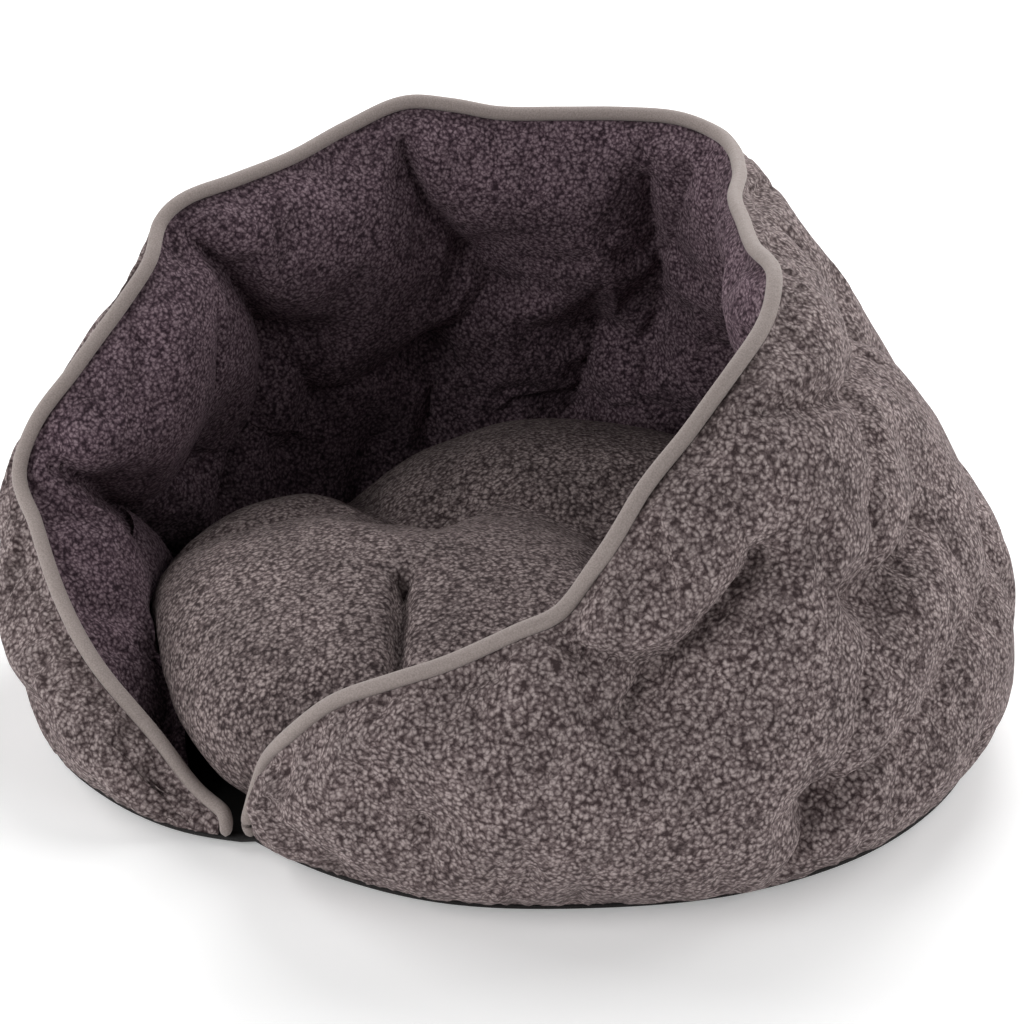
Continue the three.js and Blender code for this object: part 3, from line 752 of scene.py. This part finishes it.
class Room:
    """How far out the cushion may reach, at each turn and height, before it meets the wall."""

    TURN_STEP = 3
    LEVEL_STEP = 6
    LEVELS = 22
    TOP = LEVELS - 1.001  # just short of the last level
    OPEN = 196  # where there is no wall
    GAP = 1.2

    def __init__(self, grid):
        points = grid.reshape(-1, 3) / MM
        column, level = self.bin(points)
        columns = np.floor(column).astype(int) % (360 // self.TURN_STEP)
        levels = np.floor(level).astype(int)
        low = levels < self.LEVELS
        self.reach = np.full((360 // self.TURN_STEP, self.LEVELS), float(self.OPEN))
        np.minimum.at(self.reach, (columns[low], levels[low]), np.hypot(*points.T[:2])[low])

    def bin(self, points):
        """The column and the level of each point, with the part of a step that is left over."""
        turn = np.degrees(np.arctan2(points[..., 0], -points[..., 1])) % 360
        return turn / self.TURN_STEP, np.maximum(points[..., 2], 0) / self.LEVEL_STEP

    def between(self, column, level, across):
        """The reach at a level, this share of the way from one column to the next."""
        here = self.reach[column % len(self.reach), level]
        ahead = self.reach[(column + 1) % len(self.reach), level]
        return here * (1 - across) + ahead * across

    def press(self, points):
        """The points with those that the wall leaves no room for set back to it."""
        column, level = self.bin(points)
        column = column - 0.5
        level = np.clip(level - 0.5, 0, self.TOP)
        left = np.floor(column).astype(int)
        low = np.floor(level).astype(int)
        across = column - left
        upward = level - low
        lower, upper = (self.between(left, low + step, across) for step in (0, 1))
        room = lower * (1 - upward) + upper * upward - self.GAP
        radius = np.hypot(points[..., 0], points[..., 1])
        share = np.minimum(1, room / np.maximum(radius, 1))
        pressed = points.copy()
        pressed[..., :2] *= share[..., None]
        return pressed


def taken_apart(piece):
    """The points and faces of a piece with its modifiers applied. The piece is removed."""
    mesh = evaluated_mesh(piece)
    points = points_of(mesh)
    faces = [list(face.vertices) for face in mesh.polygons]
    bpy.data.objects.remove(piece)
    return points, faces


def remeshed(piece, voxel):
    """The points and faces of a piece rebuilt in small squares of one size. The piece is removed."""
    modifier = piece.modifiers.new("remesh", "REMESH")
    modifier.mode = "VOXEL"
    modifier.voxel_size = voxel
    return taken_apart(piece)


def make_cushion(room):
    turn, angle = np.meshgrid(
        np.arange(CUSHION_COLUMNS) * 360 / CUSHION_COLUMNS,
        np.linspace(-90, 90, CUSHION_RINGS + 1)[1:-1],
        indexing="ij",
    )
    rings = room.press(cushion_surface(turn, angle))
    index = np.arange(turn.size).reshape(turn.shape)
    faces = quads(np.append(index, index[:1], axis=0))
    faces.append(index[:, 0][::-1].tolist())
    faces.append(index[:, -1].tolist())
    rough = add_object("rough_cushion", rings.reshape(-1, 3) * MM, faces)
    points, faces = remeshed(rough, CUSHION_VOXEL)
    places = points / MM
    held = (places[:, 2] < CUSHION_UNDERSIDE + 1).astype(float)
    is_top = places[:, 2] > CUSHION_MIDDLE_HEIGHT / 2
    for _, _, *line in CUSHION_FOLDS:
        near = 1 - fold_distance(places, line) / FOLD_HOLD
        held = np.maximum(held, np.clip(near * is_top, 0, 1))
    swollen = swell(points, faces, held, CUSHION_GROWTH, CUSHION_PRESSURE, CUSHION_CAP)
    swollen = room.press(swollen / MM)
    swollen[:, 2] = np.maximum(swollen[:, 2], CUSHION_UNDERSIDE)
    coarse = add_object("coarse_cushion", swollen * MM, faces)
    subdivision = coarse.modifiers.new("subdivision", "SUBSURF")
    subdivision.levels = subdivision.render_levels = 1
    points, faces = taken_apart(coarse)
    return add_object("loose_cushion", pinched(points / MM) * MM, faces)


def pinched(places):
    """The cushion's points with the slit pressed in."""
    distance = fold_distance(places, SLIT)
    deep = SLIT_DEPTH * np.exp(-((distance / SLIT_HALF_WIDTH) ** 2))
    shallow = SLIT_SHOULDER * np.exp(-((distance / SLIT_SHOULDER_REACH) ** 2))
    is_top = places[:, 2] > CUSHION_MIDDLE_HEIGHT / 2
    sunk = places.copy()
    sunk[:, 2] -= np.where(is_top, deep + shallow, 0)
    return sunk


# Materials
HEATHER = ((0.04, 0.026, 0.027), (0.135, 0.102, 0.102), (0.4, 0.335, 0.325))
# the cushion's tones are the outer cover's heather made darker: painted shade for the shade that the wall
# casts over the cushion
SHADED_HEATHER = ((0.028, 0.018, 0.019), (0.11, 0.083, 0.083), (0.35, 0.29, 0.28))
PLUM = ((0.026, 0.015, 0.021), (0.09, 0.058, 0.073), (0.27, 0.2, 0.225))
FLEECE_NUB = 0.0021
PLUSH_NUB = 0.0018
TONE_LEVELS = (0.2, 0.44, 0.8)  # how high in the pile its dark, middle and light tones lie
NUB_BEND = 1.6  # how far a nub's outline wanders, in nubs
NUB_BEND_SIZE = 2  # of that wandering, in nubs
NUB_DEPTH = 0.4  # in nubs
STRAND_LENGTH = 1.2  # of a curled strand on the nubs, in nubs
STRAND_BAND = 0.22  # how close together the strands lie
STRAND_SHARE = 0.25  # how much of the pile's relief is strands; the rest is nubs
FIBRE_SIZE = 1 / 3  # of the finest relief, in nubs
FIBRE_SHARE = 0.3
PATCH_SIZE = 0.02
PATCH_CONTRAST = 0.16  # how much lighter or darker than the rest a patch may be

PIPING_TONES = ((0.26, 0.215, 0.2), (0.36, 0.31, 0.29))
PIPING_GRAIN_SIZE = 1 / 1500
PIPING_GRAIN_SHARE = 0.25  # of its relief, beside the puckers
PIPING_PUCKER_LENGTH = 6.25  # in millimetres, as the cord's attribute is
BOTTOM_TONES = ((0.02, 0.018, 0.018), (0.006, 0.005, 0.005))
BOTTOM_WEAVE_SIZE = 1 / 900


class Look:
    """A material and its nodes."""

    def __init__(self, name):
        self.material = bpy.data.materials.new(name)
        self.material.use_nodes = True
        self.tree = self.material.node_tree
        self.shader = self.tree.nodes["Principled BSDF"]
        self.place = self.add("TexCoord", {}).outputs["Object"]

    def set(self, node, inputs):
        """Sets each input of a node to a value or joins it to another node's output."""
        for name, value in inputs.items():
            if isinstance(value, bpy.types.NodeSocket):
                self.tree.links.new(value, node.inputs[name])
            else:
                node.inputs[name].default_value = value

    def add(self, kind, inputs):
        node = self.tree.nodes.new("ShaderNode" + kind)
        self.set(node, inputs)
        return node

    def noise(self, size, detail, distortion=0.0):
        """Soft grain of this size, in metres."""
        inputs = {"Vector": self.place, "Scale": 1 / size, "Detail": detail, "Distortion": distortion}
        return self.add("TexNoise", inputs).outputs["Fac"]

    def calculate(self, operation, *values):
        """The result of a sum on values or on other nodes' outputs."""
        node = self.add("Math", {})
        node.operation = operation
        self.set(node, dict(enumerate(values)))
        return node.outputs[0]

    def tones(self, value, colours, levels):
        """The colours at these levels of the value, blended in between."""
        node = self.add("ValToRGB", {"Fac": value})
        elements = node.color_ramp.elements
        for level in levels[1:-1]:
            elements.new(level)
        for element, colour, level in zip(elements, colours, levels):
            element.position = level
            element.color = (*colour, 1)
        return node.outputs["Color"]

    def relief(self, height, strength, depth):
        """Roughens the surface with a height in shares of the depth."""
        bump = self.add("Bump", {"Height": height, "Strength": strength, "Distance": depth})
        self.set(self.shader, {"Normal": bump.outputs["Normal"]})


def fleece(name, dark, middle, light, nub, sheen):
    """Nubbly fleece: nubs of this width with curled strands on them, dark in the pits between them."""
    look = Look(name)
    curl = look.add("TexNoise", {"Vector": look.place, "Scale": 1 / (NUB_BEND_SIZE * nub)})
    bent = look.add("VectorMath", {})
    bent.operation = "MULTIPLY_ADD"
    look.set(bent, {0: curl.outputs["Color"], 1: (NUB_BEND * nub,) * 3, 2: look.place})
    nubs = look.add("TexVoronoi", {"Vector": bent.outputs[0], "Scale": 1 / nub})
    nub_tops = look.calculate("SUBTRACT", 1, nubs.outputs["Distance"])
    strands = look.calculate("PINGPONG", look.noise(nub * STRAND_LENGTH, 1, 0.4), STRAND_BAND)
    strands = look.calculate("MULTIPLY", strands, STRAND_SHARE / STRAND_BAND)
    pile = look.calculate("MULTIPLY_ADD", nub_tops, 1 - STRAND_SHARE, strands)
    height = look.calculate("MULTIPLY_ADD", look.noise(nub * FIBRE_SIZE, 3), FIBRE_SHARE, pile)
    look.relief(height, strength=0.8, depth=NUB_DEPTH * nub)

    patches = look.add("MapRange", {"Value": look.noise(PATCH_SIZE, 3), "From Min": 0.3, "From Max": 0.7})
    look.set(patches, {"To Min": 1 - PATCH_CONTRAST, "To Max": 1 + PATCH_CONTRAST})
    colour = look.add("VectorMath", {})
    colour.operation = "SCALE"
    tones = look.tones(pile, (dark, middle, light), TONE_LEVELS)
    look.set(colour, {0: tones, "Scale": patches.outputs["Result"]})
    look.set(look.shader, {"Base Color": colour.outputs[0], "Roughness": 0.95, "Specular IOR Level": 0.15})
    look.set(look.shader, {"Sheen Weight": sheen, "Sheen Roughness": 0.6, "Sheen Tint": (*light, 1)})
    return look


def piping_cloth():
    """Smooth cloth drawn over a cord: a fine grain, and small puckers across the cord."""
    look = Look("piping_cloth")
    grain = look.noise(PIPING_GRAIN_SIZE, 2)
    along = look.add("Attribute", {})
    along.attribute_name = "along"
    puckers = look.add("TexNoise", {"Scale": 1 / PIPING_PUCKER_LENGTH, "Detail": 3})
    puckers.noise_dimensions = "1D"
    look.set(puckers, {"W": along.outputs["Fac"]})
    height = look.calculate("MULTIPLY_ADD", grain, PIPING_GRAIN_SHARE, puckers.outputs["Fac"])
    look.relief(height, strength=0.6, depth=0.0006)
    look.set(look.shader, {"Base Color": look.tones(grain, PIPING_TONES, (0.3, 0.7)), "Roughness": 0.85})
    look.set(look.shader, {"Specular IOR Level": 0.2, "Sheen Weight": 0.15})
    return look


def bottom_material():
    """Near-black woven cloth."""
    look = Look("bottom_cloth")
    inputs = {"Vector": look.place, "Scale": 1 / BOTTOM_WEAVE_SIZE, "Randomness": 0.3}
    weave = look.add("TexVoronoi", inputs).outputs["Distance"]
    look.relief(weave, strength=0.5, depth=0.0004)
    look.set(look.shader, {"Base Color": look.tones(weave, BOTTOM_TONES, (0, 1)), "Roughness": 0.8})
    return look


def paint(piece, look):
    piece.data.materials.clear()
    piece.data.materials.append(look.material)


# Stage
CAMERA_AZIMUTH = 39
CAMERA_ELEVATION = 25
CAMERA_DISTANCE = 1.5
CAMERA_FOCUS = Vector((0, 0, 0.12))
PHOTO_SIZE = 1024
PHOTO_LENS = 3216  # in the photo's pixels
PHOTO_CENTRE = (505, 470)  # the pixel that the camera's focus falls on
SENSOR = 36
LIGHT_FOCUS = Vector((0, 0, 0.1))
LIGHT_DISTANCE = 1.9
LIGHT_SIZE = 1.2
# Lights: degrees to the camera's right, degrees up, and watts
LIGHTS = (
    ("back_low", 160, 30, 16),
    ("back_high", 160, 55, 14),
    ("right", 110, 30, 12.5),
    ("left", -110, 30, 16),
    ("front_left", -50, 25, 14),
    ("front_right", 50, 25, 10),
)
SKY = 0.1
FLOOR_GLOW = 0.25
FLOOR_HALF = 4.0  # metres from its middle to each edge
WHITE = (1, 1, 1, 1)


def towards(azimuth, elevation):
    """The direction from the bed to a place at this azimuth, 0 at the entrance, and elevation."""
    azimuth = math.radians(azimuth)
    elevation = math.radians(elevation)
    flat = math.cos(elevation)
    return Vector((math.sin(azimuth) * flat, -math.cos(azimuth) * flat, math.sin(elevation)))


def make_camera():
    data = bpy.data.cameras.new("camera")
    camera = bpy.data.objects.new("camera", data)
    bpy.context.scene.collection.objects.link(camera)
    back = towards(CAMERA_AZIMUTH, CAMERA_ELEVATION)
    right = towards(CAMERA_AZIMUTH + 90, 0)
    above = back.cross(right)
    aside, over = (PHOTO_SIZE / 2 - pixel for pixel in PHOTO_CENTRE)
    ahead = -back + right * aside / PHOTO_LENS - above * over / PHOTO_LENS
    camera.location = CAMERA_FOCUS + back * CAMERA_DISTANCE
    camera.rotation_euler = ahead.to_track_quat("-Z", "Y").to_euler()
    data.sensor_width = SENSOR
    data.lens = PHOTO_LENS / PHOTO_SIZE * SENSOR
    bpy.context.scene.camera = camera


def make_light(name, azimuth, elevation, power):
    data = bpy.data.lights.new(name, "AREA")
    data.shape = "DISK"
    data.size = LIGHT_SIZE
    data.energy = power
    light = bpy.data.objects.new(name, data)
    bpy.context.scene.collection.objects.link(light)
    outward = towards(azimuth, elevation)
    light.location = LIGHT_FOCUS + outward * LIGHT_DISTANCE
    light.rotation_euler = (-outward).to_track_quat("-Z", "Y").to_euler()


def make_stage():
    corners = np.array([(-1, -1, 0), (1, -1, 0), (1, 1, 0), (-1, 1, 0)]) * FLOOR_HALF
    floor = add_object("floor", corners, [[0, 1, 2, 3]], smooth=False)
    look = Look("floor")
    look.set(look.shader, {"Base Color": (0.9, 0.9, 0.9, 1), "Roughness": 0.9})
    look.set(look.shader, {"Emission Color": WHITE, "Emission Strength": FLOOR_GLOW})
    paint(floor, look)
    world = bpy.data.worlds.new("world")
    world.use_nodes = True
    background = world.node_tree.nodes["Background"]
    background.inputs["Color"].default_value = WHITE
    background.inputs["Strength"].default_value = SKY
    bpy.context.scene.world = world
    for name, beside_camera, elevation, power in LIGHTS:
        make_light(name, CAMERA_AZIMUTH + beside_camera, elevation, power)
    bpy.context.scene.view_settings.view_transform = "Standard"


# The bed
make_camera()
make_stage()

outer_grid, inner_grid = swollen_wall()
outer_cover = make_cover("outer_cover", outer_grid, 1)
inner_cover = make_cover("inner_cover", inner_grid, -1)
piping = make_piping()
panel = make_panel()
cushion = make_cushion(Room(inner_grid))

paint(outer_cover, fleece("outer_fleece", *HEATHER, nub=FLEECE_NUB, sheen=0.25))
paint(cushion, fleece("cushion_fleece", *SHADED_HEATHER, nub=FLEECE_NUB, sheen=0.25))
paint(inner_cover, fleece("inner_plush", *PLUM, nub=PLUSH_NUB, sheen=0.2))
paint(piping, piping_cloth())
paint(panel, bottom_material())

for piece, node, slot_name in (
    (outer_cover, "outer_wall", "outer_fleece"),
    (inner_cover, "inner_wall", "inner_plush"),
    (piping, "rim_piping", "piping_cloth"),
    (panel, "bottom_panel", "bottom_cloth"),
    (cushion, "cushion", "cushion_fleece"),
):
    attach(piece, BODY)
    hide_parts(node)
